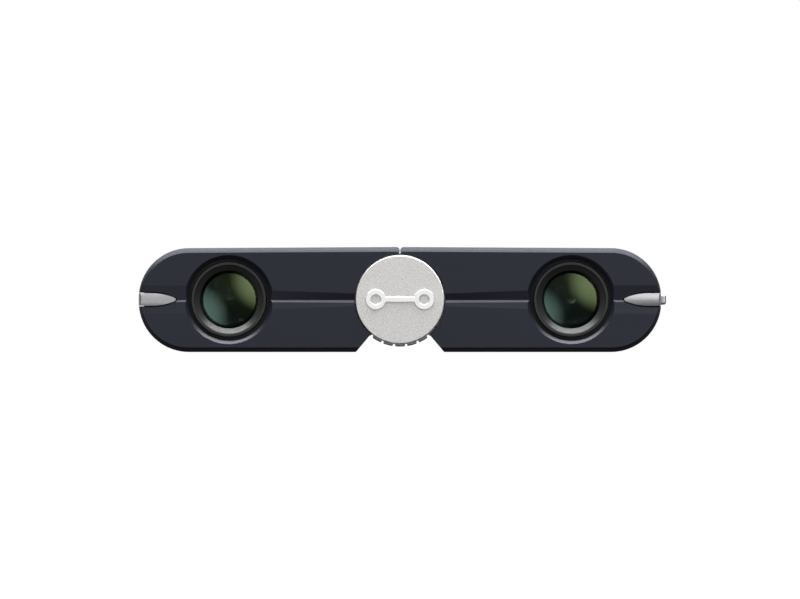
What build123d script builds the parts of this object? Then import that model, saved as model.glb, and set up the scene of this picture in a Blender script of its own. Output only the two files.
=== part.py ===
"""Slim folding compact binoculars: two flat aluminium halves on one central hinge.

The frame: +Z is up, the objectives face -Y and the eyepieces face +Y. X = 0 is the hinge axis,
Y = 0 is halfway along the overall length, and Z = 0 is the plane that the two lower covers rest on.
At rest the halves lie flat, which is the widest setting for the eyes. All sizes are in millimetres.

Both halves are built as the right one (+X), and the left one is its mirror image. Functions that
take a mode add to, or cut from, the part that is being built around the call.
"""

import math
import os

from build123d import *

os.makedirs("parts", exist_ok=True)

# ---- the outside ----------------------------------------------------------------------------
HALF_WIDTH = 46.5
HEIGHT = 18.7
AXIS_Z = HEIGHT / 2
FRONT_Y = -26.5
REAR_Y = 19.0
END_RADIUS = 8.95
SKIN = 0.9  # covers: top, bottom, ends and the walls of the notch
WALL = 1.2  # covers: front and rear walls
CROWN = 0.25  # how much lower the top is at its outer ends than at the hinge
# The bevel round the front and rear faces has two facets. Each row is a section's distance behind
# the face, its inset at the top and bottom, and its inset at the outer end.
BEVEL = [(0.0, 0.84, 0.48), (0.2, 0.5, 0.28), (0.85, 0.0, 0.0)]
BEVEL_DEPTH = BEVEL[-1][0]
HALF_SEAM = 0.07  # half of the seam between the halves on top, when they lie flat
SEAM_ROUND = 0.6
NOTCH_ROUND = 0.3
NOTCH_ANGLE = math.radians(40)  # each side of the notch under the hinge, from straight down
FRONT_INSIDE_Y = FRONT_Y + WALL
REAR_INSIDE_Y = REAR_Y - WALL
FACET_DEPTH = {"above": 0.42, "below": 0.25}  # of the facets beside the seam of the front face
# Those facets: from and to along X, and the height at each end, negative below the seam
FACETS = [(6.5, 24.0, 1.0, 1.65), (6.5, 24.0, -1.14, -1.7), (36.5, 48.0, 2.5, 2.5), (36.5, 48.0, -2.5, -2.5)]
SEAM_SLOT = 0.1
SEAM_CHAMFER = (0.225, 0.36)  # along Y and Z, on the lower cover's edge at the seam

# ---- the hinge and the focus drive, on the axis -----------------------------------------------
RUN = 0.05  # radial clearance of a running fit
SHAFT_R = 2.5
CAP_R, CAP_SEAT_R = 7.88, 8.12
CAP_Y = (-26.72, -25.1)
EMBLEM_FRONT_Y = -27.0
WHEEL_R, WHEEL_BAY_R = 8.4, 8.95
WHEEL_Y = (-24.9, -12.6)
WHEEL_WEB = 2.0
WHEEL_RIBS = 24
WHEEL_GROOVE = 0.42
STEP_Y = -12.3  # behind the wheel, the bay around the axis narrows here
KNUCKLE_R, HINGE_BAY_R = 6.6, 7.0
KNUCKLES = {"left": [(-1.5, 4.9), (12.6, 17.4)], "right": [(5.2, 12.3)]}
REAR_CAP_R, REAR_SEAT_R = 6.6, 6.85
REAR_CAP_Y = (17.4, 19.3)
THREAD_R = 3.8
SCREW_REAR_Y = -2.2
NUT_Y = (-11.3, -2.7)
NUT_R, NUT_FLANGE_R, NUT_FLANGE = 4.8, 5.8, 0.5
HUB_R = 6.2
HUB_Y = {"left": (-10.75, -7.05), "right": (-6.95, -3.25)}
ARM_Y = {"left": (-8.9, -7.05), "right": (-6.95, -5.1)}
ARM_HALF_HEIGHT = 3.0
FOCUS_TRAVEL = 0.8
ROD_X, ROD_R = 16.75, 1.0

# ---- the optics -------------------------------------------------------------------------------
OBJECTIVE_X = 30.45
EYEPIECE_X = 36.0
HOLE_R, HOLE_RIM_R = 7.29, 7.91
BEZEL_R, BARREL_BORE_R = 6.63, 6.72
BARREL_WALL = 0.9
BARREL_REAR_Y = -12.5
BEZEL_FRONT_Y = -26.1
TUBE_R, GLASS_R, LENS_VIEW_R = 6.2, 5.6, 5.17
TUBE_Y = (-24.4, -5.1)
LENS_PLAY = 0.02
BULKHEADS_Y = [FRONT_INSIDE_Y, -4.0, 16.6]
BULKHEAD = 1.0
PRISM_Y = (-3.0, 8.0)
PRISM_HALF = 4.4
EYE_TUBE_R, EYE_CELL_R = 7.4, 6.85
EYE_TUBE_Y = (8.0, 22.0)
RING_R = 8.2
RING_Y = (19.3, 21.9)
CUP_R = 8.3
CUP_Y = (22.5, 27.0)

# ---- trim and fasteners -----------------------------------------------------------------------
TRIM_HALF_HEIGHT = 1.12
TRIM_TIP_X = 39.45
TRIM_STRAIGHT_X = 44.2
TRIM_TIP_R = 0.3
TRIM_GROOVE = 0.1
POCKET_Y = (-22.5, -14.5)
POCKET_HALF_HEIGHT = 2.2
POCKET_FLOOR_X = 43.2
LINER = 0.35
BAR_X = (45.0, 47.5)  # the strap bar stands a little out of the side
BAR_THICK, BAR_GRIP = 1.87, 0.8
SCREW_PLACES = [(13.0, -22.6), (20.5, -22.6), (13.0, 15.2), (24.6, 15.2)]
BOSS_R, BOSS_TOP_Z = 1.9, 9.5
SCREW_R, SCREW_HEAD_R, SCREW_LENGTH = 0.7, 1.25, 7.0


# ---- tools ------------------------------------------------------------------------------------
def across(y):
    """The plane across the body at depth y: its x is +X, its y is +Z, and it faces forward."""
    return Plane(origin=(0, y, 0), x_dir=(1, 0, 0), z_dir=(0, -1, 0))


def rod(x, radius, y_front, y_rear, mode=Mode.ADD):
    """A solid cylinder along Y, centred on (x, AXIS_Z)."""
    with BuildSketch(across(y_rear)) as section:
        with Locations((x, AXIS_Z)):
            Circle(radius)
    extrude(section.sketch, amount=y_rear - y_front, mode=mode)


def tube(x, outer, inner, y_front, y_rear, mode=Mode.ADD):
    """A tube along Y, centred on (x, AXIS_Z)."""
    with BuildSketch(across(y_rear)) as section:
        with Locations((x, AXIS_Z)):
            Circle(outer)
            Circle(inner, mode=Mode.SUBTRACT)
    extrude(section.sketch, amount=y_rear - y_front, mode=mode)


def turned(x, points, mode=Mode.ADD):
    """A turned shape about the line at (x, AXIS_Z), from its (radius, y) points."""
    with BuildSketch(Plane.XY.offset(AXIS_Z)) as section:
        with BuildLine():
            Polyline([(x + radius, y) for radius, y in points], close=True)
        make_face()
    revolve(section.sketch, axis=Axis((x, 0, AXIS_Z), (0, 1, 0)), mode=mode)


def lens(x, radius, y_front, y_rear, front_bulge, rear_bulge):
    """A lens with a cylindrical edge from y_front to y_rear. A bulge is its cap's height in +Y."""
    with BuildSketch(Plane.XY.offset(AXIS_Z)) as section:
        with BuildLine():
            front, rear = (x, y_front + front_bulge), (x, y_rear + rear_bulge)
            ThreePointArc(front, cap_point(x, radius, y_front, front_bulge), (x + radius, y_front))
            Line((x + radius, y_front), (x + radius, y_rear))
            ThreePointArc((x + radius, y_rear), cap_point(x, radius, y_rear, rear_bulge), rear)
            Line(rear, front)
        make_face()
    revolve(section.sketch, axis=Axis((x, 0, AXIS_Z), (0, 1, 0)))


def cap_point(x, radius, y_edge, bulge):
    """A point halfway out from the axis on a spherical cap."""
    sphere = (radius**2 + bulge**2) / (2 * abs(bulge))
    height = math.sqrt(sphere**2 - (radius / 2) ** 2) - (sphere - abs(bulge))
    return (x + radius / 2, y_edge + math.copysign(height, bulge))


def rims(builder, radius):
    """The circular edges of one radius."""
    return builder.edges().filter_by(GeomType.CIRCLE).filter_by(lambda e: abs(e.radius - radius) < 0.01)


def to_side(side):
    """Turns the part being built into its mirror image if it belongs to the left half."""
    if side == "left":
        mirror(about=Plane.YZ, mode=Mode.REPLACE)


def save(part, name):
    """Labels a finished piece and writes its STEP file."""
    part.label = name
    export_step(part, f"parts/{name}.step")


# ---- the outer form ---------------------------------------------------------------------------
def half_outline(y, flat_inset=0.0, end_inset=0.0):
    """The right half's section at depth y: flat, round-ended, and cut off by the notch."""
    top, low, end_x = HEIGHT - flat_inset, flat_inset, HALF_WIDTH - end_inset
    with BuildSketch(across(y)) as outline:
        with BuildLine():
            Polyline(
                (HALF_SEAM, top),
                (end_x, top - CROWN),
                (end_x, low),
                ((AXIS_Z - low) * math.tan(NOTCH_ANGLE), low),
                (HALF_SEAM, AXIS_Z - HALF_SEAM / math.tan(NOTCH_ANGLE)),
                close=True,
            )
        make_face()
        fillet(outline.vertices().group_by(Axis.X)[-1], radius=END_RADIUS - 0.7 * flat_inset)
        fillet(outline.vertices().group_by(Axis.X)[0].sort_by(Axis.Y)[-1], radius=SEAM_ROUND)
        fillet(outline.vertices().group_by(Axis.Y)[0].sort_by(Axis.X)[0], radius=NOTCH_ROUND)
    return outline.sketch


def inner_outline(y, seam_gap):
    """The section inside the right half's covers at depth y, down to a seam_gap from X = 0."""
    notch_z = AXIS_Z + (SKIN - seam_gap * math.cos(NOTCH_ANGLE)) / math.sin(NOTCH_ANGLE)
    notch_x = (SKIN + (AXIS_Z - SKIN) * math.sin(NOTCH_ANGLE)) / math.cos(NOTCH_ANGLE)
    with BuildSketch(across(y)) as outline:
        with BuildLine():
            Polyline(
                (seam_gap, HEIGHT - SKIN),
                (HALF_WIDTH - SKIN, HEIGHT - SKIN - CROWN),
                (HALF_WIDTH - SKIN, SKIN),
                (notch_x, SKIN),
                (seam_gap, notch_z),
                close=True,
            )
        make_face()
        fillet(outline.vertices().group_by(Axis.X)[-1], radius=END_RADIUS - SKIN)
    return outline.sketch


def half_block():
    """The outside of the right half as one solid, with bevelled front and rear faces."""
    with BuildPart() as block:
        extrude(half_outline(REAR_Y - BEVEL_DEPTH), amount=REAR_Y - FRONT_Y - 2 * BEVEL_DEPTH)
        for face_y, inwards in ((FRONT_Y, 1), (REAR_Y, -1)):
            rings = [half_outline(face_y + inwards * back, flat, end) for back, flat, end in BEVEL]
            for outer, inner in zip(rings, rings[1:]):
                loft([outer, inner], ruled=True)
    return block.part


def bullet(y, grow=0.0):
    """The side trim's outline seen from the front: a rail's end with a pointed, curved nose."""
    half, tip_x, end_x = TRIM_HALF_HEIGHT + grow, TRIM_TIP_X - grow, HALF_WIDTH + 2
    nose_r = ((TRIM_STRAIGHT_X - tip_x) ** 2 + half**2) / (2 * half)
    with BuildSketch(across(y)) as outline:
        with BuildLine():
            RadiusArc((tip_x, AXIS_Z), (TRIM_STRAIGHT_X, AXIS_Z + half), nose_r)
            Polyline(
                (TRIM_STRAIGHT_X, AXIS_Z + half),
                (end_x, AXIS_Z + half),
                (end_x, AXIS_Z - half),
                (TRIM_STRAIGHT_X, AXIS_Z - half),
            )
            RadiusArc((TRIM_STRAIGHT_X, AXIS_Z - half), (tip_x, AXIS_Z), nose_r)
        make_face()
        fillet(outline.vertices().sort_by(Axis.X)[0], radius=TRIM_TIP_R)
    return outline.sketch


def strap_pocket(grow=0.0, mode=Mode.ADD):
    """The space of the strap pocket in the right side."""
    with BuildSketch(Plane.YZ.offset(POCKET_FLOOR_X - grow)) as mouth:
        with Locations(((POCKET_Y[0] + POCKET_Y[1]) / 2, AXIS_Z)):
            SlotOverall(POCKET_Y[1] - POCKET_Y[0] + 2 * grow, 2 * (POCKET_HALF_HEIGHT + grow))
    extrude(mouth.sketch, amount=HALF_WIDTH + 2 - POCKET_FLOOR_X, mode=mode)


def seam_facet(x_start, x_end, rise_start, rise_end):
    """Cuts a shallow facet beside the seam of the front face. A negative rise goes below it."""
    ahead = 0.3
    depth = FACET_DEPTH["above" if rise_start > 0 else "below"]
    sections = []
    for x, rise in ((x_start, rise_start), (x_end, rise_end)):
        with BuildSketch(Plane.YZ.offset(x)) as section:
            with BuildLine():
                Polyline(
                    (FRONT_Y - ahead, AXIS_Z + rise * (1 + ahead / depth)),
                    (FRONT_Y - ahead, AXIS_Z),
                    (FRONT_Y + depth, AXIS_Z),
                    close=True,
                )
            make_face()
        sections.append(section.sketch)
    loft(sections, ruled=True, mode=Mode.SUBTRACT)


def seam_line(face_y, inwards, depth):
    """Cuts the lower cover's edge at the seam: a narrow slot with a chamfer below it."""
    ahead, slot_depth = 0.5, 0.8
    back, drop = SEAM_CHAMFER
    slot_z = AXIS_Z - SEAM_SLOT
    with BuildSketch(Plane.YZ) as section:
        with BuildLine():
            Polyline(
                (face_y - inwards * ahead, AXIS_Z),
                (face_y + inwards * slot_depth, AXIS_Z),
                (face_y + inwards * slot_depth, slot_z),
                (face_y + inwards * (depth + back), slot_z),
                (face_y - inwards * ahead, slot_z - drop * (1 + (depth + ahead) / back)),
                close=True,
            )
        make_face()
    extrude(section.sketch, amount=HALF_WIDTH + 1, mode=Mode.SUBTRACT)


def wheel_window(z_low, mode=Mode.SUBTRACT):
    """The opening on top of the halves through which a finger turns the wheel."""
    with BuildSketch(Plane.XY.offset(z_low)) as window:
        with Locations((0, (WHEEL_Y[0] + WHEEL_Y[1]) / 2)):
            RectangleRounded(11.0, WHEEL_Y[1] - WHEEL_Y[0] + 0.5, 1.2)
    extrude(window.sketch, amount=HEIGHT, mode=mode)


def screw_holes(radius, head_r, depth):
    """Countersunk holes for the cover screws, cut upwards from below."""
    for x, y in SCREW_PLACES:
        with Locations(Location((x, y, 0), (180, 0, 0))):
            CounterSinkHole(radius, head_r, depth=depth, counter_sink_angle=90)


def covers(side):
    """The upper and lower covers of one half: one bevelled shell, parted at the hinge's height."""
    with BuildPart() as shell:
        add(half_block())
        extrude(inner_outline(REAR_INSIDE_Y, 0.0), amount=REAR_INSIDE_Y - FRONT_INSIDE_Y, mode=Mode.SUBTRACT)
        rod(0, CAP_SEAT_R, FRONT_Y - 1, FRONT_INSIDE_Y + 1, mode=Mode.SUBTRACT)
        rod(0, WHEEL_BAY_R, FRONT_INSIDE_Y, STEP_Y, mode=Mode.SUBTRACT)
        rod(0, HINGE_BAY_R + 1.2, STEP_Y, REAR_INSIDE_Y, mode=Mode.SUBTRACT)
        rod(0, REAR_SEAT_R, REAR_INSIDE_Y - 1, REAR_Y + 1, mode=Mode.SUBTRACT)
        wheel_window(HEIGHT - 4)
        # The objective's hole, with its countersunk rim
        rim = HOLE_RIM_R - HOLE_R
        turned(
            OBJECTIVE_X,
            [
                (0, FRONT_Y - 1),
                (HOLE_RIM_R + 1, FRONT_Y - 1),
                (HOLE_R, FRONT_Y + rim),
                (HOLE_R, FRONT_INSIDE_Y + 1),
                (0, FRONT_INSIDE_Y + 1),
            ],
            mode=Mode.SUBTRACT,
        )
        # The eyepiece's hole
        rod(EYEPIECE_X, EYE_TUBE_R, REAR_INSIDE_Y - 1, REAR_Y + 1, mode=Mode.SUBTRACT)
        for facet in FACETS:
            seam_facet(*facet)
        # The channel of the side trim, with a chamfered mouth in the front face
        extrude(bullet(REAR_Y + 2, grow=TRIM_GROOVE), amount=REAR_Y - FRONT_Y + 4, mode=Mode.SUBTRACT)
        mouth = [bullet(FRONT_Y - 0.1, grow=0.4), bullet(FRONT_Y + 0.5, grow=TRIM_GROOVE)]
        loft(mouth, ruled=True, mode=Mode.SUBTRACT)
        if side == "right":
            strap_pocket(grow=LINER, mode=Mode.SUBTRACT)
    for level, keep in (("upper", Keep.TOP), ("lower", Keep.BOTTOM)):
        with BuildPart() as cover:
            add(shell.part)
            split(bisect_by=Plane.XY.offset(AXIS_Z), keep=keep)
            if level == "lower":
                seam_line(FRONT_Y, 1, 0.19)
                seam_line(REAR_Y, -1, 0.0)
                screw_holes(SCREW_R + 0.1, SCREW_HEAD_R + LENS_PLAY, depth=2)
            to_side(side)
        save(cover.part, f"{side}_{level}_cover")


# ---- the inner frame --------------------------------------------------------------------------
def frame(side):
    """The chassis of one half: hinge-side wall, bulkheads, objective barrel, bosses and knuckles."""
    wall = 0.9
    frame_rear_y = BULKHEADS_Y[-1] + BULKHEAD
    with BuildPart() as chassis:
        tube(0, WHEEL_BAY_R + 0.05 + wall, HINGE_BAY_R, FRONT_INSIDE_Y, STEP_Y + 0.6)
        tube(0, HINGE_BAY_R + wall, HINGE_BAY_R, STEP_Y, frame_rear_y)
        tube(OBJECTIVE_X, BARREL_BORE_R + BARREL_WALL, BARREL_BORE_R, FRONT_INSIDE_Y, BARREL_REAR_Y)
        for y_front in BULKHEADS_Y:
            with BuildSketch(across(y_front + BULKHEAD)):
                with Locations((HALF_WIDTH / 2, AXIS_Z)):
                    Rectangle(HALF_WIDTH, HEIGHT)
            extrude(amount=BULKHEAD)
        with BuildSketch(Plane.XY):
            with Locations(SCREW_PLACES):
                Circle(BOSS_R)
        extrude(amount=BOSS_TOP_Z)
        # Nothing reaches past the inside of the covers, or past the middle
        extrude(inner_outline(frame_rear_y, 0.25), amount=frame_rear_y - FRONT_INSIDE_Y, mode=Mode.INTERSECT)
        rod(0, WHEEL_BAY_R + 0.05, FRONT_INSIDE_Y, STEP_Y, mode=Mode.SUBTRACT)
        rod(0, HINGE_BAY_R, FRONT_INSIDE_Y, frame_rear_y, mode=Mode.SUBTRACT)
        rod(OBJECTIVE_X, BARREL_BORE_R, FRONT_INSIDE_Y, BARREL_REAR_Y, mode=Mode.SUBTRACT)
        rod(OBJECTIVE_X, PRISM_HALF, BULKHEADS_Y[1], PRISM_Y[0], mode=Mode.SUBTRACT)
        rod(EYEPIECE_X, EYE_TUBE_R, BULKHEADS_Y[2], frame_rear_y, mode=Mode.SUBTRACT)
        rod(ROD_X, ROD_R, FRONT_INSIDE_Y + BULKHEAD / 2, BULKHEADS_Y[1] + BULKHEAD / 2, mode=Mode.SUBTRACT)
        wheel_window(AXIS_Z + 3)
        screw_holes(SCREW_R, SCREW_HEAD_R, depth=SCREW_LENGTH + 0.5)
        # The slot for the focusing arm, with room for its travel
        room = FOCUS_TRAVEL + 0.2
        with BuildSketch(across(ARM_Y[side][1] + room)):
            with Locations((9, AXIS_Z)):
                Rectangle(12, 2 * ARM_HALF_HEIGHT + 0.6)
        extrude(amount=ARM_Y[side][1] - ARM_Y[side][0] + 2 * room, mode=Mode.SUBTRACT)
        # The knuckles, each on a short neck from the hinge-side wall
        bore = SHAFT_R if side == "left" else SHAFT_R + RUN
        for y_front, y_rear in KNUCKLES[side]:
            with BuildSketch(across(y_rear)):
                with Locations((5.6, AXIS_Z)):
                    Rectangle(4.0, 7.6)
                with Locations((0, AXIS_Z)):
                    Circle(KNUCKLE_R)
                    Circle(bore, mode=Mode.SUBTRACT)
            extrude(amount=y_rear - y_front)
        to_side(side)
        if side == "left":
            # A tab that bridges the seam from below and keeps light from passing through it
            with BuildSketch(across(4.0)):
                with Locations((-0.8, AXIS_Z + 8.05)):
                    Rectangle(1.0, 0.62)
                with Locations((-0.5, AXIS_Z + 8.18)):
                    Rectangle(1.6, 0.36)
            extrude(amount=5.0)
    save(chassis.part, f"{side}_frame")


def guide_rod(side):
    """The rod that keeps a focusing arm in line, set into two bulkheads."""
    with BuildPart() as guide:
        rod(ROD_X, ROD_R, FRONT_INSIDE_Y + BULKHEAD / 2, BULKHEADS_Y[1] + BULKHEAD / 2)
        to_side(side)
    save(guide.part, f"{side}_guide_rod")


# ---- the hinge --------------------------------------------------------------------------------
def hinge_pieces():
    """The shaft, the front cap that both front walls turn about, the washers and the rear cap."""
    shaft_front_y, shaft_rear_y = CAP_Y[1] - 1.0, REAR_CAP_Y[0] + 0.9
    with BuildPart() as shaft:
        rod(0, SHAFT_R, shaft_front_y, shaft_rear_y)
    save(shaft.part, "hinge_shaft")
    with BuildPart() as cap:
        rod(0, CAP_R, CAP_Y[0], CAP_Y[1])
        fillet(cap.faces().sort_by(Axis.Y)[0].edges(), radius=0.2)
        rod(0, SHAFT_R, shaft_front_y, CAP_Y[1], mode=Mode.SUBTRACT)
    save(cap.part, "hinge_front_cap")
    first, second = KNUCKLES["left"]
    middle = KNUCKLES["right"][0]
    with BuildPart() as washers:
        tube(0, 5.4, SHAFT_R + RUN, first[1] + 0.02, middle[0] - 0.02)
        tube(0, 5.4, SHAFT_R + RUN, middle[1] + 0.02, second[0] - 0.02)
    save(washers.part, "hinge_washers")
    with BuildPart() as rear_cap:
        rod(0, REAR_CAP_R, *REAR_CAP_Y)
        fillet(rear_cap.faces().sort_by(Axis.Y)[-1].edges(), radius=0.4)
        rod(0, SHAFT_R, REAR_CAP_Y[0], shaft_rear_y, mode=Mode.SUBTRACT)
        rod(-4.0, 0.6, REAR_CAP_Y[1] - 0.6, REAR_CAP_Y[1], mode=Mode.SUBTRACT)
        rod(4.0, 0.6, REAR_CAP_Y[1] - 0.6, REAR_CAP_Y[1], mode=Mode.SUBTRACT)
    save(rear_cap.part, "hinge_rear_cap")


def front_emblem():
    """A raised sign on the front cap: two rings joined by a bar."""
    ring_x, ring_r, line = 4.3, 1.8, 0.9
    with BuildPart() as emblem:
        with BuildSketch(across(CAP_Y[0])):
            with Locations((-ring_x, AXIS_Z), (ring_x, AXIS_Z)):
                Circle(ring_r)
            with Locations((0, AXIS_Z)):
                Rectangle(2 * ring_x, line)
            with Locations((-ring_x, AXIS_Z), (ring_x, AXIS_Z)):
                Circle(ring_r - line, mode=Mode.SUBTRACT)
        extrude(amount=CAP_Y[0] - EMBLEM_FRONT_Y)
        chamfer(emblem.faces().sort_by(Axis.Y)[0].edges(), length=0.06)
    save(emblem.part, "front_emblem")


# ---- the focus drive --------------------------------------------------------------------------
def focus_wheel():
    """The ribbed wheel between the halves. It sits on the lead screw and turns about the shaft."""
    with BuildPart() as wheel:
        rod(0, WHEEL_R, *WHEEL_Y)
        chamfer(rims(wheel, WHEEL_R), length=0.2)
        rod(0, SHAFT_R + RUN, *WHEEL_Y, mode=Mode.SUBTRACT)
        rod(0, THREAD_R, WHEEL_Y[0] + WHEEL_WEB, WHEEL_Y[1], mode=Mode.SUBTRACT)
        tube(0, 7.2, 5.0, WHEEL_Y[1] - 3.0, WHEEL_Y[1], mode=Mode.SUBTRACT)
        # Narrow V grooves between broad ribs, with one rib straight down
        rim, floor, mouth, bed = WHEEL_R + 0.2, WHEEL_R - WHEEL_GROOVE, 0.4, 0.1
        with BuildSketch(across(WHEEL_Y[1])):
            with Locations((0, AXIS_Z)):
                with PolarLocations(0, WHEEL_RIBS, start_angle=180 / WHEEL_RIBS):
                    Polygon((floor, -bed), (rim, -mouth), (rim, mouth), (floor, bed), align=None)
        extrude(amount=WHEEL_Y[1] - WHEEL_Y[0], mode=Mode.SUBTRACT)
    save(wheel.part, "focus_wheel")


def lead_screw():
    """The hollow screw behind the wheel, with its coarse thread drawn as ring grooves."""
    groove, pitch = 0.25, 0.8
    turns = int((SCREW_REAR_Y - WHEEL_Y[1] - 1) / pitch)
    with BuildPart() as screw:
        tube(0, THREAD_R, SHAFT_R + RUN, WHEEL_Y[0] + WHEEL_WEB, SCREW_REAR_Y)
        for turn in range(turns):
            y = SCREW_REAR_Y - 0.6 - turn * pitch
            edge_r = THREAD_R + 0.1
            turned(0, [(edge_r, y - 0.3), (THREAD_R - groove, y), (edge_r, y + 0.3)], mode=Mode.SUBTRACT)
    save(screw.part, "focus_lead_screw")


def focus_nut():
    """The nut on the lead screw. Its two flanges carry both focusing arms forward and back."""
    bore_r = THREAD_R + RUN
    with BuildPart() as nut:
        tube(0, NUT_R, bore_r, *NUT_Y)
        tube(0, NUT_FLANGE_R, bore_r, NUT_Y[0], NUT_Y[0] + NUT_FLANGE)
        tube(0, NUT_FLANGE_R, bore_r, NUT_Y[1] - NUT_FLANGE, NUT_Y[1])
    save(nut.part, "focus_nut")


def focus_arm(side):
    """The arm from the nut to one objective: a hub that can turn, a flat arm and a clamp."""
    arm_front, arm_rear = ARM_Y[side]
    reach = OBJECTIVE_X - 4
    with BuildPart() as arm:
        rod(0, HUB_R, *HUB_Y[side])
        with BuildSketch(across(arm_rear)):
            with Locations((4 + reach / 2, AXIS_Z)):
                Rectangle(reach, 2 * ARM_HALF_HEIGHT)
            with Locations((OBJECTIVE_X, AXIS_Z)):
                Circle(TUBE_R + 1.0)
        extrude(amount=arm_rear - arm_front)
        rod(0, NUT_R + RUN, *HUB_Y[side], mode=Mode.SUBTRACT)
        rod(OBJECTIVE_X, TUBE_R, arm_front, arm_rear, mode=Mode.SUBTRACT)
        rod(ROD_X, ROD_R + RUN, arm_front, arm_rear, mode=Mode.SUBTRACT)
        to_side(side)
    save(arm.part, f"{side}_focus_arm")


# ---- the objectives ---------------------------------------------------------------------------
def objective(side):
    """A sliding objective: its tube, its bezel, and a cemented pair of lenses."""
    x = OBJECTIVE_X
    seat_r, seat_y = GLASS_R - 0.3, -21.2
    crown_y, joint_y = -23.7, -23.1
    with BuildPart() as barrel:
        tube(x, TUBE_R, GLASS_R, TUBE_Y[0], seat_y)
        tube(x, TUBE_R, seat_r, seat_y, TUBE_Y[1])
        tube(x, BEZEL_R, TUBE_R, -17.5, -14.5)
        to_side(side)
    save(barrel.part, f"{side}_objective_tube")
    with BuildPart() as bezel:
        turned(
            x,
            [
                (LENS_VIEW_R, BEZEL_FRONT_Y + 0.95),
                (6.05, BEZEL_FRONT_Y + 0.22),
                (6.2, BEZEL_FRONT_Y),
                (BEZEL_R - 0.06, BEZEL_FRONT_Y),
                (BEZEL_R, BEZEL_FRONT_Y + 0.06),
                (BEZEL_R, BEZEL_FRONT_Y + 2.9),
                (TUBE_R, BEZEL_FRONT_Y + 2.9),
                (TUBE_R, TUBE_Y[0]),
                (GLASS_R, TUBE_Y[0]),
                (GLASS_R, TUBE_Y[0] + 0.4),
                (LENS_VIEW_R, TUBE_Y[0] + 0.4),
            ],
        )
        to_side(side)
    save(bezel.part, f"{side}_objective_bezel")
    with BuildPart() as crown:
        lens(x, GLASS_R - LENS_PLAY, crown_y, joint_y, -0.62, 0.9)
        to_side(side)
    save(crown.part, f"{side}_objective_crown_lens")
    with BuildPart() as flint:
        rod(x, GLASS_R - LENS_PLAY, joint_y, seat_y)
        to_side(side)
        add(crown.part, mode=Mode.SUBTRACT)
    save(flint.part, f"{side}_objective_flint_lens")


# ---- the prisms -------------------------------------------------------------------------------
def prism_set(side):
    """The two prisms that step the light outward and turn the image upright, in their holder."""
    step = EYEPIECE_X - OBJECTIVE_X
    front_y, rear_y = PRISM_Y
    middle_y = front_y + step
    with BuildPart() as step_prism:
        with BuildSketch(Plane.XY.offset(AXIS_Z)):
            with BuildLine():
                Polyline(
                    (OBJECTIVE_X - step / 2, front_y + 0.1),
                    (OBJECTIVE_X + step / 2, front_y + 0.1),
                    (EYEPIECE_X + step / 2, middle_y),
                    (EYEPIECE_X - step / 2, middle_y),
                    close=True,
                )
            make_face()
        extrude(amount=PRISM_HALF, both=True)
        to_side(side)
    save(step_prism.part, f"{side}_step_prism")
    with BuildPart() as roof_prism:
        with BuildSketch(Plane.XY.offset(AXIS_Z)):
            with BuildLine():
                Polyline(
                    (EYEPIECE_X - PRISM_HALF, middle_y + 0.15),
                    (EYEPIECE_X + PRISM_HALF, middle_y + 0.15),
                    (EYEPIECE_X + PRISM_HALF, rear_y - 1.5),
                    (EYEPIECE_X + 2.9, rear_y - 0.1),
                    (EYEPIECE_X - 2.9, rear_y - 0.1),
                    close=True,
                )
            make_face()
        extrude(amount=PRISM_HALF, both=True)
        # The roof: two sloping faces along the slanted side
        slanted = roof_prism.faces().sort_by(Axis.X)[0]
        chamfer(slanted.edges().filter_by(Axis.Z, reverse=True).group_by(Axis.Z)[0], length=1.2)
        chamfer(roof_prism.faces().sort_by(Axis.X)[0].edges().group_by(Axis.Z)[-1], length=1.2)
        to_side(side)
    save(roof_prism.part, f"{side}_roof_prism")
    with BuildPart() as holder:
        with BuildSketch(across(rear_y)):
            with Locations((OBJECTIVE_X + step / 2, AXIS_Z)):
                RectangleRounded(18.5, 14.5, 2.0)
        extrude(amount=rear_y - front_y)
        with BuildSketch(Plane.XY.offset(AXIS_Z)):
            with BuildLine():
                Polyline(
                    (OBJECTIVE_X - PRISM_HALF, front_y),
                    (OBJECTIVE_X + PRISM_HALF, front_y),
                    (EYEPIECE_X + PRISM_HALF, middle_y),
                    (EYEPIECE_X + PRISM_HALF, rear_y),
                    (EYEPIECE_X - PRISM_HALF, rear_y),
                    (EYEPIECE_X - PRISM_HALF, middle_y),
                    (OBJECTIVE_X - PRISM_HALF, front_y + 2.6),
                    close=True,
                )
            make_face()
        extrude(amount=PRISM_HALF, both=True, mode=Mode.SUBTRACT)
        to_side(side)
    save(holder.part, f"{side}_prism_holder")


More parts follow.
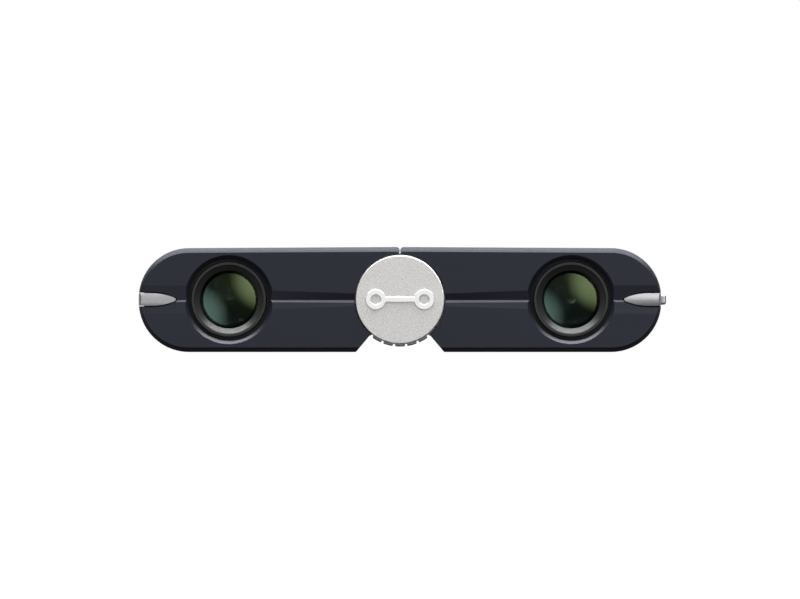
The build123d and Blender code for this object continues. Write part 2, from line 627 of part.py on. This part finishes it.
# ---- the eyepieces ----------------------------------------------------------------------------
def eyepiece(side):
    """An eyepiece: outer tube, inner cell with its lenses and field stop, and rubber eyecup."""
    x = EYEPIECE_X
    cell_r, bore_r, lip_r = EYE_CELL_R - RUN, 6.0, 5.2
    lip_y, cell_end_y = 23.0, 24.0
    with BuildPart() as outer_tube:
        tube(x, EYE_TUBE_R, EYE_CELL_R, *EYE_TUBE_Y)
        to_side(side)
    save(outer_tube.part, f"{side}_eyepiece_tube")
    with BuildPart() as cell:
        turned(
            x,
            [
                (cell_r, EYE_TUBE_Y[0] + 0.7),
                (cell_r, cell_end_y),
                (bore_r + 0.3, cell_end_y),
                (lip_r, lip_y),
                (lip_r, lip_y - 0.4),
                (bore_r, lip_y - 0.8),
                (bore_r, EYE_TUBE_Y[0] + 0.7),
            ],
        )
        to_side(side)
    save(cell.part, f"{side}_eyepiece_cell")
    with BuildPart() as field_lens:
        lens(x, bore_r - LENS_PLAY, 10.6, 11.2, -0.8, 0.5)
        to_side(side)
    save(field_lens.part, f"{side}_field_lens")
    with BuildPart() as field_stop:
        tube(x, bore_r - LENS_PLAY, PRISM_HALF, 15.7, 16.3)
        to_side(side)
    save(field_stop.part, f"{side}_field_stop")
    with BuildPart() as eye_lens:
        lens(x, bore_r - LENS_PLAY, 20.4, 21.4, -1.0, 0.8)
        to_side(side)
    save(eye_lens.part, f"{side}_eye_lens")
    with BuildPart() as cup:
        grooves = []
        for groove_y in (CUP_Y[0] + 1.0, CUP_Y[0] + 1.8, CUP_Y[0] + 2.6):
            grooves += [(CUP_R, groove_y - 0.2), (CUP_R - 0.25, groove_y), (CUP_R, groove_y + 0.2)]
        turned(
            x,
            [
                (cell_r, CUP_Y[0]),
                (CUP_R - 0.25, CUP_Y[0]),
                (CUP_R, CUP_Y[0] + 0.25),
                *grooves,
                (CUP_R, CUP_Y[1] - 0.8),
                (CUP_R - 0.25, CUP_Y[1] - 0.2),
                (CUP_R - 0.8, CUP_Y[1]),
                (CUP_R - 1.3, CUP_Y[1] - 0.15),
                (CUP_R - 1.6, CUP_Y[1] - 0.6),
                (bore_r + 0.3, cell_end_y + 0.3),
                (bore_r + 0.3, cell_end_y),
                (cell_r, cell_end_y),
            ],
        )
        to_side(side)
    save(cup.part, f"{side}_eyecup")


def eyepiece_rings():
    """The plain collar on the left eyepiece, and the ribbed dioptre ring on the right one."""
    with BuildPart() as collar:
        tube(EYEPIECE_X, RING_R, EYE_TUBE_R, RING_Y[0], RING_Y[1])
        chamfer(rims(collar, RING_R), length=0.3)
        to_side("left")
    save(collar.part, "left_eyepiece_collar")
    ribs, rib_depth, land = 60, 0.25, 0.5
    with BuildPart() as ring:
        tube(EYEPIECE_X, RING_R, EYE_TUBE_R + RUN, *RING_Y)
        chamfer(rims(ring, RING_R), length=0.25)
        with BuildSketch(across(RING_Y[1] - land)):
            with Locations((EYEPIECE_X, AXIS_Z)):
                with PolarLocations(RING_R, ribs):
                    Rectangle(math.sqrt(2) * rib_depth, math.sqrt(2) * rib_depth, rotation=45)
        extrude(amount=RING_Y[1] - RING_Y[0] - 2 * land, mode=Mode.SUBTRACT)
    save(ring.part, "dioptre_ring")


# ---- trim and fasteners -----------------------------------------------------------------------
def strap_bar_solid():
    """The flat bar across the strap pocket, with rounded edges, set into the rail at both ends."""
    with BuildPart() as bar:
        with BuildSketch(across(POCKET_Y[1] + BAR_GRIP)):
            with Locations(((BAR_X[0] + BAR_X[1]) / 2, AXIS_Z)):
                Rectangle(BAR_X[1] - BAR_X[0], BAR_THICK)
        extrude(amount=POCKET_Y[1] - POCKET_Y[0] + 2 * BAR_GRIP)
        fillet(bar.edges(), radius=0.42)
    return bar.part


def side_trim(side):
    """The bright rail that clips the covers together, with a bullet nose at each end."""
    with BuildPart() as rail:
        add(half_block())
        extrude(bullet(REAR_Y + 2), amount=REAR_Y - FRONT_Y + 4, mode=Mode.INTERSECT)
        # Both ends are crowned from top to bottom
        top_z, low_z, drop = AXIS_Z + TRIM_HALF_HEIGHT, AXIS_Z - TRIM_HALF_HEIGHT, 0.18
        with BuildSketch(Plane.YZ):
            with BuildLine():
                ThreePointArc((FRONT_Y + drop, low_z), (FRONT_Y, AXIS_Z), (FRONT_Y + drop, top_z))
                Line((FRONT_Y + drop, top_z), (REAR_Y - drop, top_z))
                ThreePointArc((REAR_Y - drop, top_z), (REAR_Y, AXIS_Z), (REAR_Y - drop, low_z))
                Line((REAR_Y - drop, low_z), (FRONT_Y + drop, low_z))
            make_face()
        extrude(amount=HALF_WIDTH + 1, mode=Mode.INTERSECT)
        extrude(inner_outline(REAR_INSIDE_Y, 0.0), amount=REAR_INSIDE_Y - FRONT_INSIDE_Y, mode=Mode.SUBTRACT)
        rod(EYEPIECE_X, EYE_TUBE_R, REAR_INSIDE_Y - 1, REAR_Y + 1, mode=Mode.SUBTRACT)
        if side == "right":
            strap_pocket(mode=Mode.SUBTRACT)
            add(strap_bar_solid(), mode=Mode.SUBTRACT)
        to_side(side)
    save(rail.part, f"{side}_side_trim")


def strap_pieces():
    """The strap bar, and the cup that lines its pocket in the right side."""
    save(strap_bar_solid(), "strap_bar")
    with BuildPart() as liner:
        strap_pocket(grow=LINER)
        strap_pocket(mode=Mode.SUBTRACT)
        extrude(half_outline(REAR_Y), amount=REAR_Y - FRONT_Y, mode=Mode.INTERSECT)
        with BuildSketch(Plane.YZ.offset(HALF_WIDTH - 3)):
            with Locations((0, AXIS_Z)):
                Rectangle(4 * REAR_Y, 2 * TRIM_HALF_HEIGHT)
        extrude(amount=6, mode=Mode.SUBTRACT)
    save(liner.part, "strap_pocket_liner")


def fasteners(side):
    """Countersunk cross-head screws, through the lower cover into the frame's bosses."""
    shank_r, head_r, sink = SCREW_R - RUN, SCREW_HEAD_R - RUN, 0.05
    with BuildPart() as screws:
        for x, y in SCREW_PLACES:
            with BuildSketch(Plane.XZ.offset(-y)):
                with BuildLine():
                    Polyline(
                        (x, sink),
                        (x + head_r, sink),
                        (x + shank_r, sink + head_r - shank_r),
                        (x + shank_r, SCREW_LENGTH),
                        (x, SCREW_LENGTH + 0.4),
                        close=True,
                    )
                make_face()
            revolve(axis=Axis((x, y, 0), (0, 0, 1)))
        with BuildSketch(Plane.XY):
            with Locations(SCREW_PLACES):
                Rectangle(1.5, 0.34)
                Rectangle(0.34, 1.5)
        extrude(amount=0.5, mode=Mode.SUBTRACT)
        to_side(side)
    save(screws.part, f"{side}_cover_screws")


def top_badge():
    """Two low raised bars on the right upper cover."""
    with BuildPart() as badge:
        with BuildSketch(Plane.XY.offset(HEIGHT)):
            for x_low, x_high in ((19.3, 32.6), (33.3, 36.2)):
                with Locations(((x_low + x_high) / 2, 10.0)):
                    SlotOverall(x_high - x_low, 2.2)
        extrude(amount=0.15)
    save(badge.part, "top_badge")


for half in ("left", "right"):
    covers(half)
    frame(half)
    guide_rod(half)
    focus_arm(half)
    objective(half)
    prism_set(half)
    eyepiece(half)
    side_trim(half)
    fasteners(half)
hinge_pieces()
front_emblem()
focus_wheel()
lead_screw()
focus_nut()
eyepiece_rings()
strap_pieces()
top_badge()
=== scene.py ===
"""Slim folding pocket binoculars: materials, fine detail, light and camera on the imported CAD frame."""
import math

import bmesh
import bpy
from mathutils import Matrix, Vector
from mathutils.bvhtree import BVHTree


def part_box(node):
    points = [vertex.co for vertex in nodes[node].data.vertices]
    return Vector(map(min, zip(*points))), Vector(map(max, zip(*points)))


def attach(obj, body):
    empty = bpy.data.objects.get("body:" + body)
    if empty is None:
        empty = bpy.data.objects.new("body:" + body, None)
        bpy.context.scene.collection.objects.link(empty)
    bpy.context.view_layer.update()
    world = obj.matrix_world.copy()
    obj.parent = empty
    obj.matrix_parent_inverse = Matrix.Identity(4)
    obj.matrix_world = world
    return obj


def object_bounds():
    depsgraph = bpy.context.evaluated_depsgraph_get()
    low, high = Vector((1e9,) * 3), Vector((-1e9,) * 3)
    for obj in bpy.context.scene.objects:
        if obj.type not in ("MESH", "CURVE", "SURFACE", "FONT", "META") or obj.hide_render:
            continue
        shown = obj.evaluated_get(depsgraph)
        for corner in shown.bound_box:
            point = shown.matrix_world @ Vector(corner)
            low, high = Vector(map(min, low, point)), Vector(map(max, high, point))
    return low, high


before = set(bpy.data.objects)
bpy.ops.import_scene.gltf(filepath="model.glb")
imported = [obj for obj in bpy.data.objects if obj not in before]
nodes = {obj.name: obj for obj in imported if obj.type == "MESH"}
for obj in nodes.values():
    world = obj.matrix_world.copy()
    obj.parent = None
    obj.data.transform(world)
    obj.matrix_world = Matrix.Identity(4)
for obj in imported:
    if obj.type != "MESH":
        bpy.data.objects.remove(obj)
cad_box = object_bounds()
MM = 0.001


# ---- where things are, from the CAD -------------------------------------------------------------
def middle(node):
    """Middle of a CAD node's box."""
    low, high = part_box(node)
    return [(low[i] + high[i]) / 2 for i in range(3)]


AXIS_Z = middle("hinge_front_cap")[2]
FACE_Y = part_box("right_upper_cover")[0][1]
OBJECTIVE_X = middle("right_objective_tube")[0]
EYE_X = middle("right_eyecup")[0]


# ---- material helpers -----------------------------------------------------------------------------
class Mat:
    """A Principled material with short helpers for its node tree."""

    def __init__(self, name, color, roughness, metallic=0.0, **inputs):
        self.material = bpy.data.materials.new(name)
        self.material.use_nodes = True
        self.tree = self.material.node_tree
        self.shader = self.tree.nodes["Principled BSDF"]
        self.set("Base Color", (*color, 1.0))
        self.set("Roughness", roughness)
        self.set("Metallic", metallic)
        for key, value in inputs.items():
            self.set(key.replace("_", " "), value)
        self.color = color
        self.position = self.node("ShaderNodeTexCoord").outputs["Object"]

    def set(self, name, value):
        self.shader.inputs[name].default_value = value

    def node(self, kind, **settings):
        made = self.tree.nodes.new(kind)
        for key, value in settings.items():
            setattr(made, key, value)
        return made

    def link(self, source, target):
        self.tree.links.new(source, target)

    def math(self, operation, *values):
        made = self.node("ShaderNodeMath", operation=operation)
        for socket, value in zip(made.inputs, values):
            if isinstance(value, (int, float)):
                socket.default_value = value
            else:
                self.link(value, socket)
        return made.outputs[0]

    def noise(self, size, detail=2.0, stretch=(1, 1, 1)):
        """Noise with features of about that size in metres, drawn out along an axis by stretch."""
        scaled = self.node("ShaderNodeVectorMath", operation="MULTIPLY")
        self.link(self.position, scaled.inputs[0])
        scaled.inputs[1].default_value = [1 / (size * s) for s in stretch]
        made = self.node("ShaderNodeTexNoise")
        made.inputs["Scale"].default_value = 1.0
        made.inputs["Detail"].default_value = detail
        self.link(scaled.outputs[0], made.inputs["Vector"])
        return made.outputs["Fac"]

    def spread(self, value, low, high, start=0.3, end=0.7):
        """Maps a value from start..end to low..high."""
        made = self.node("ShaderNodeMapRange")
        self.link(value, made.inputs["Value"])
        for name, number in (("From Min", start), ("From Max", end), ("To Min", low), ("To Max", high)):
            made.inputs[name].default_value = number
        return made.outputs["Result"]

    def tint(self, factor, other):
        """Mixes the base colour with another one by a factor."""
        mix = self.node("ShaderNodeMix", data_type="RGBA")
        self.link(factor, mix.inputs["Factor"])
        old = self.shader.inputs["Base Color"]
        if old.is_linked:
            self.link(old.links[0].from_socket, mix.inputs["A"])
        else:
            mix.inputs["A"].default_value = (*self.color, 1.0)
        mix.inputs["B"].default_value = (*other, 1.0)
        self.link(mix.outputs["Result"], old)
        return self

    def grain(self, size, depth, amount=0.0, rough=None, stretch=(1, 1, 1), detail=2.0):
        """Surface grain: relief of that depth, a change of colour, and roughness between two values."""
        value = self.noise(size, detail, stretch)
        if amount:
            self.tint(self.spread(value, 0.0, 1.0), [c * (1 + amount) for c in self.color])
        if rough:
            self.link(self.spread(value, *rough), self.shader.inputs["Roughness"])
        return self.relief(value, depth)

    def relief(self, value, depth):
        """Adds a bump of that depth in metres to the surface."""
        bump = self.node("ShaderNodeBump")
        bump.inputs["Strength"].default_value = 1.0
        bump.inputs["Distance"].default_value = depth
        self.link(value, bump.inputs["Height"])
        if self.shader.inputs["Normal"].is_linked:
            self.link(self.shader.inputs["Normal"].links[0].from_socket, bump.inputs["Normal"])
        self.link(bump.outputs["Normal"], self.shader.inputs["Normal"])
        return self

    def radius(self, centre_x):
        """Distance from the axis along Y at that X on either half, in metres."""
        parts = self.node("ShaderNodeSeparateXYZ")
        self.link(self.position, parts.inputs[0])
        x = self.math("SUBTRACT", self.math("ABSOLUTE", parts.outputs["X"]), centre_x)
        z = self.math("SUBTRACT", parts.outputs["Z"], AXIS_Z)
        squares = self.math("ADD", self.math("MULTIPLY", x, x), self.math("MULTIPLY", z, z))
        return self.math("SQRT", squares)

    def turning(self, centre_x, pitch, depth):
        """Fine concentric marks from a lathe."""
        rings = self.math("SINE", self.math("MULTIPLY", self.radius(centre_x), 2 * math.pi / pitch))
        return self.relief(rings, depth)


def paint(material, *names):
    """Gives a material to CAD nodes."""
    for name in names:
        for slot in nodes[name].material_slots:
            slot.material = material.material


def both(*names):
    """The node names of both halves."""
    return [f"{side}_{name}" for side in ("left", "right") for name in names]


# ---- materials --------------------------------------------------------------------------------------
navy = Mat("navy_anodised", (0.0060, 0.0072, 0.0132), 0.34, 0.3, Specular_IOR_Level=0.33)
navy.grain(0.11 * MM, 0.0012 * MM, 0.16, (0.33, 0.41))
navy.tint(navy.spread(navy.noise(9 * MM, 3, (4, 1, 1)), 0.0, 0.35), (0.0078, 0.0093, 0.0168))
paint(navy, *both("upper_cover", "lower_cover"), "top_badge")

silver = Mat("silver_blasted", (0.585, 0.575, 0.565), 0.5, 0.9)
silver.grain(0.15 * MM, 0.022 * MM, -0.46, (0.42, 0.6))
silver.grain(0.45 * MM, 0.004 * MM)
paint(silver, "hinge_front_cap")

polished = Mat("emblem_polished", (0.62, 0.62, 0.616), 0.46, 0.85)
polished.grain(0.2 * MM, 0.0005 * MM, 0.03, (0.43, 0.49))
paint(polished, "front_emblem")

grey = Mat("wheel_anodised", (0.21, 0.213, 0.217), 0.5, 0.7)
grey.grain(0.12 * MM, 0.002 * MM, 0.2, (0.46, 0.56)).turning(0.0, 0.32 * MM, 0.001 * MM)
paint(grey, "focus_wheel")

black = Mat("black_anodised", (0.012, 0.012, 0.013), 0.34, 0.4)
black.grain(0.12 * MM, 0.002 * MM, 0.35, (0.30, 0.40))
paint(black, *both("eyepiece_tube", "focus_arm", "field_stop"), "hinge_rear_cap", "dioptre_ring",
      "left_eyepiece_collar")

bezel = Mat("bezel_turned", (0.0165, 0.0168, 0.0174), 0.3, 0.3, Specular_IOR_Level=0.3)
bezel.grain(0.15 * MM, 0.001 * MM, 0.2, (0.28, 0.36)).turning(OBJECTIVE_X, 0.22 * MM, 0.0012 * MM)
paint(bezel, *both("objective_bezel"))

cell = Mat("cell_turned", (0.014, 0.0142, 0.015), 0.36, 0.5)
cell.grain(0.15 * MM, 0.001 * MM, 0.2, (0.3, 0.4)).turning(EYE_X, 0.25 * MM, 0.0015 * MM)
paint(cell, *both("eyepiece_cell"))

baffle = Mat("tube_blackened", (0.006, 0.006, 0.0065), 0.62, 0.2)
baffle.grain(0.2 * MM, 0.004 * MM, 0.4, (0.55, 0.7)).turning(OBJECTIVE_X, 0.3 * MM, 0.003 * MM)
paint(baffle, *both("objective_tube"))

moulded = Mat("black_moulded", (0.004, 0.004, 0.0045), 0.6, 0.0, Specular_IOR_Level=0.12)
moulded.grain(0.3 * MM, 0.008 * MM, 0.3, (0.48, 0.62), detail=4)
paint(moulded, *both("frame", "prism_holder"), "strap_pocket_liner")

chrome = Mat("satin_chrome", (0.40, 0.40, 0.415), 0.3, 1.0)
chrome.grain(0.14 * MM, 0.0003 * MM, 0.08, (0.27, 0.34), stretch=(1, 12, 1))
paint(chrome, *both("side_trim"), "strap_bar")

steel = Mat("ground_steel", (0.50, 0.50, 0.51), 0.28, 1.0)
steel.grain(0.12 * MM, 0.0012 * MM, 0.18, (0.22, 0.34), stretch=(8, 1, 1))
paint(steel, *both("guide_rod", "cover_screws"), "hinge_shaft")

brass = Mat("turned_brass", (0.60, 0.41, 0.17), 0.3, 1.0)
brass.grain(0.2 * MM, 0.002 * MM, -0.25, (0.24, 0.38)).turning(0.0, 0.25 * MM, 0.001 * MM)
paint(brass, "focus_lead_screw", "focus_nut")

acetal = Mat("washer_acetal", (0.60, 0.58, 0.52), 0.42, 0.0, Subsurface_Weight=0.1)
acetal.grain(0.3 * MM, 0.003 * MM, 0.1, (0.36, 0.48))
paint(acetal, "hinge_washers")

rubber = Mat("soft_rubber", (0.016, 0.016, 0.017), 0.62, 0.0, Sheen_Weight=0.15, Sheen_Roughness=0.5)
rubber.grain(0.16 * MM, 0.008 * MM, 0.35, (0.56, 0.7), detail=4)
rubber.tint(rubber.spread(rubber.noise(2.5 * MM, 3), 0.0, 0.4), (0.024, 0.024, 0.025))
paint(rubber, *both("eyecup"))


def coated(name, centre_x, low_tint, high_tint):
    """Lens glass whose coating's colour drifts across the pane, with a few rough specks of dust."""
    made = Mat(name, (0.045, 0.047, 0.056), 0.03, 0.0, Transmission_Weight=1.0, IOR=1.52)
    parts = made.node("ShaderNodeSeparateXYZ")
    made.link(made.position, parts.inputs[0])
    across = made.math("ADD", made.math("SUBTRACT", parts.outputs["X"], centre_x),
                       made.math("SUBTRACT", parts.outputs["Z"], AXIS_Z))
    drift = made.math("ADD", across, made.spread(made.noise(4 * MM), -0.8 * MM, 0.8 * MM))
    mix = made.node("ShaderNodeMix", data_type="RGBA")
    made.link(made.spread(drift, 0.0, 1.0, -3 * MM, 3 * MM), mix.inputs["Factor"])
    mix.inputs["A"].default_value = (*low_tint, 1.0)
    mix.inputs["B"].default_value = (*high_tint, 1.0)
    made.link(mix.outputs["Result"], made.shader.inputs["Specular Tint"])
    dust = made.noise(0.35 * MM, 4)
    made.link(made.spread(dust, 0.03, 0.05, 0.62, 0.8), made.shader.inputs["Roughness"])
    return made


for side, sign in (("left", -1), ("right", 1)):
    paint(coated(f"{side}_objective_glass", sign * OBJECTIVE_X, (0.56, 0.92, 0.8), (0.76, 1.0, 0.47)),
          f"{side}_objective_crown_lens", f"{side}_objective_flint_lens")
    paint(coated(f"{side}_eyepiece_glass", sign * EYE_X, (0.5, 0.45, 0.9), (0.35, 0.8, 0.6)),
          f"{side}_eye_lens", f"{side}_field_lens")

prism = Mat("prism_glass", (0.93, 0.96, 0.97), 0.02, 0.0, Transmission_Weight=1.0, IOR=1.57)
prism.grain(1.5 * MM, 0.0005 * MM)
paint(prism, *both("step_prism", "roof_prism"))


# ---- small pieces that the CAD leaves out -------------------------------------------------------------
def piece(name, shape, material, body):
    """An object from a bmesh, with its material and its body."""
    mesh = bpy.data.meshes.new(name)
    bmesh.ops.recalc_face_normals(shape, faces=shape.faces)
    shape.to_mesh(mesh)
    shape.free()
    mesh.materials.append(material.material)
    made = bpy.data.objects.new(name, mesh)
    bpy.context.scene.collection.objects.link(made)
    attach(made, body)


def top_surface(node, x, y):
    """Height of a CAD node's top over (x, y)."""
    mesh = nodes[node].data
    tree = BVHTree.FromPolygons([v.co for v in mesh.vertices], [p.vertices for p in mesh.polygons])
    return tree.ray_cast(Vector((x, y, 1.0)), Vector((0, 0, -1)))[0].z


def slab(outline, z, thick):
    """A thin plate with that outline, from z up."""
    shape = bmesh.new()
    low = [shape.verts.new((x, y, z)) for x, y in outline]
    high = [shape.verts.new((x, y, z + thick)) for x, y in outline]
    shape.faces.new(low)
    shape.faces.new(high)
    for i in range(len(outline)):
        shape.faces.new((low[i - 1], low[i], high[i], high[i - 1]))
    return shape


def dioptre_marks():
    """An index dot on the right cover, with a plus and a minus sign either side of it."""
    cover, sink, thick, spacing = "right_upper_cover", 0.02 * MM, 0.05 * MM, 1.9 * MM
    centre_x, y = EYE_X - 1.2 * MM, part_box(cover)[1][1] - 1.7 * MM
    arm, half, dot_r, dot_sides = 0.5 * MM, 0.1 * MM, 0.42 * MM, 28
    plus = [(half, arm), (half, half), (arm, half), (arm, -half), (half, -half), (half, -arm),
            (-half, -arm), (-half, -half), (-arm, -half), (-arm, half), (-half, half), (-half, arm)]
    minus = [(arm, half), (arm, -half), (-arm, -half), (-arm, half)]
    angles = [2 * math.pi * step / dot_sides for step in range(dot_sides)]
    dot = [(dot_r * math.cos(angle), dot_r * math.sin(angle)) for angle in angles]
    for name, shift, outline in (("dot", 0.0, dot), ("plus", spacing, plus), ("minus", -spacing, minus)):
        x = centre_x + shift
        z = top_surface(cover, x, y) - sink
        shape = slab([(x + dx, y + dy) for dx, dy in outline], z, thick)
        piece(f"dioptre_index_{name}", shape, paint_white, "right_half")


def retaining_ring(name, x, y, outer, inner, depth, body):
    """A ring with two spanner slots that holds an eye lens."""
    steps, slot_at, slot_share, corner_share = 96, (0, 1, 48, 49), 0.35, 0.12
    shape = bmesh.new()
    rows = []
    for step in range(steps):
        angle = 2 * math.pi * step / steps
        back = slot_share * depth if step in slot_at else 0.0
        soft = corner_share * (outer - inner)
        profile = [(outer, -depth), (outer, -soft - back), (outer - soft, -back),
                   (inner + 2 * soft, -back), (inner, -3 * soft - back), (inner, -depth)]
        rows.append([shape.verts.new((x + r * math.cos(angle), y + d, AXIS_Z + r * math.sin(angle)))
                     for r, d in profile])
    for first, second in zip(rows, rows[1:] + rows[:1]):
        for i in range(len(first)):
            j = (i + 1) % len(first)
            shape.faces.new((first[i], first[j], second[j], second[i]))
    piece(name, shape, cell, body)


paint_white = Mat("index_paint", (0.78, 0.78, 0.76), 0.5)
paint_white.grain(0.12 * MM, 0.001 * MM, -0.1, (0.44, 0.56))
dioptre_marks()
RING_OUTER, RING_INNER, RING_DEPTH, RING_INSET = 5.17 * MM, 4.72 * MM, 1.0 * MM, 1.05 * MM
for side, sign, body in (("left", -1, "left_half"), ("right", 1, "right_eyepiece")):
    ring_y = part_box(f"{side}_eyepiece_cell")[1][1] - RING_INSET
    retaining_ring(f"{side}_eye_lens_ring", sign * EYE_X, ring_y, RING_OUTER, RING_INNER, RING_DEPTH, body)


# ---- the studio -------------------------------------------------------------------------------------
FLOOR_REACH, FLOOR_GAP = 0.72, 1 * MM
# Strength of the dome from below to the horizon, and what it gains towards straight up
LOW_DOME, HIGH_DOME = (0.16, 0.31), 0.9
# Direction, reach in degrees and strength of each bright field: two in front, one behind
FIELDS = [
    ((0.47, -1.0, 0.31), 27, 4.6),
    ((-0.52, -1.0, -0.26), 26, 3.8),
    ((0.0, 1.0, 0.12), 70, 0.4),
]
# Name, place, aim and size in metres, and power in watts of each lamp
LAMPS = [
    ("overhead", (0.0, -0.32, 0.8), (0.0, -0.32, 0.0), (1.5, 0.8), 26.0),
    ("top_strip", (0.0, -0.07, 0.79), (0.0, -0.07, 0.0), (1.2, 0.2), 20.0),
    ("rear_fill", (0.0, 0.75, 0.55), (0.0, 0.0, 0.0), (1.2, 0.6), 16.0),
]


def floor():
    """A plain floor that shows white, low enough for the half that folds down, and not reflected."""
    mesh = bpy.data.meshes.new("floor")
    grid = bmesh.new()
    bmesh.ops.create_grid(grid, x_segments=24, y_segments=24, size=FLOOR_REACH)
    grid.to_mesh(mesh)
    grid.free()
    plane = bpy.data.objects.new("floor", mesh)
    bpy.context.scene.collection.objects.link(plane)
    plane.location.z = AXIS_Z - math.hypot(cad_box[1][0], AXIS_Z) - FLOOR_GAP
    plane.visible_glossy = plane.visible_diffuse = False
    pale = Mat("floor_pale", (0.86, 0.86, 0.86), 0.7, 0.0, Specular_IOR_Level=0.2)
    pale.set("Emission Color", (1, 1, 1, 1))
    pale.set("Emission Strength", 1.0)
    pale.grain(40 * MM, 0.02 * MM, 0.03, (0.66, 0.74))
    # Its underside is clear, so that the object also shows from below
    sides = pale.node("ShaderNodeMixShader")
    pale.link(pale.node("ShaderNodeNewGeometry").outputs["Backfacing"], sides.inputs[0])
    pale.link(pale.shader.outputs[0], sides.inputs[1])
    pale.link(pale.node("ShaderNodeBsdfTransparent").outputs[0], sides.inputs[2])
    pale.link(sides.outputs[0], pale.tree.nodes["Material Output"].inputs["Surface"])
    mesh.materials.append(pale.material)


def area_light(name, place, aim, size, power):
    """A soft rectangular lamp at a place, turned towards a point."""
    data = bpy.data.lights.new(name, "AREA")
    data.shape = "RECTANGLE"
    data.size, data.size_y = size
    data.energy = power
    lamp = bpy.data.objects.new(name, data)
    lamp.location = place
    lamp.rotation_euler = (Vector(aim) - Vector(place)).to_track_quat("-Z", "Y").to_euler()
    bpy.context.scene.collection.objects.link(lamp)


def world_light():
    """White behind the object, and for its light a soft dome with brighter fields in front and behind."""
    world = bpy.data.worlds.new("studio")
    bpy.context.scene.world = world
    world.use_nodes = True
    tree = world.node_tree
    for old in list(tree.nodes):
        tree.nodes.remove(old)

    def node(kind, **settings):
        made = tree.nodes.new(kind)
        for key, value in settings.items():
            setattr(made, key, value)
        return made

    def spread(value, start, end, low, high):
        made = node("ShaderNodeMapRange", interpolation_type="SMOOTHSTEP")
        tree.links.new(value, made.inputs["Value"])
        for name, number in (("From Min", start), ("From Max", end), ("To Min", low), ("To Max", high)):
            made.inputs[name].default_value = number
        return made.outputs["Result"]

    def add(first, second):
        made = node("ShaderNodeMath", operation="ADD")
        tree.links.new(first, made.inputs[0])
        tree.links.new(second, made.inputs[1])
        return made.outputs[0]

    direction = node("ShaderNodeTexCoord").outputs["Generated"]
    parts = node("ShaderNodeSeparateXYZ")
    tree.links.new(direction, parts.inputs[0])
    low = spread(parts.outputs["Z"], -0.35, 0.15, *LOW_DOME)
    level = add(low, spread(parts.outputs["Z"], 0.3, 0.95, 0.0, HIGH_DOME))
    for aim, reach, strength in FIELDS:
        dot = node("ShaderNodeVectorMath", operation="DOT_PRODUCT")
        tree.links.new(direction, dot.inputs[0])
        dot.inputs[1].default_value = Vector(aim).normalized()
        near = math.cos(math.radians(reach))
        level = add(level, spread(dot.outputs["Value"], near, 1.0, 0.0, strength))
    lit = node("ShaderNodeBackground")
    tree.links.new(level, lit.inputs["Strength"])
    seen = node("ShaderNodeBackground")
    seen.inputs["Color"].default_value = (1, 1, 1, 1)
    pick = node("ShaderNodeMixShader")
    tree.links.new(node("ShaderNodeLightPath").outputs["Is Camera Ray"], pick.inputs[0])
    tree.links.new(lit.outputs[0], pick.inputs[1])
    tree.links.new(seen.outputs[0], pick.inputs[2])
    tree.links.new(pick.outputs[0], node("ShaderNodeOutputWorld").inputs["Surface"])


floor()
world_light()
for lamp in LAMPS:
    area_light(*lamp)


# ---- the camera ---------------------------------------------------------------------------------------
DISTANCE = 0.79  # from the front face
camera = bpy.data.cameras.new("camera")
camera.lens, camera.sensor_width = 200.0, 36.0
camera.clip_start, camera.clip_end = 0.01, 10.0
eye = bpy.data.objects.new("camera", camera)
eye.location = (0.0, FACE_Y - DISTANCE, AXIS_Z)
eye.rotation_euler = (math.radians(90), 0, 0)
bpy.context.scene.collection.objects.link(eye)
bpy.context.scene.camera = eye
bpy.context.scene.view_settings.view_transform = "Standard"
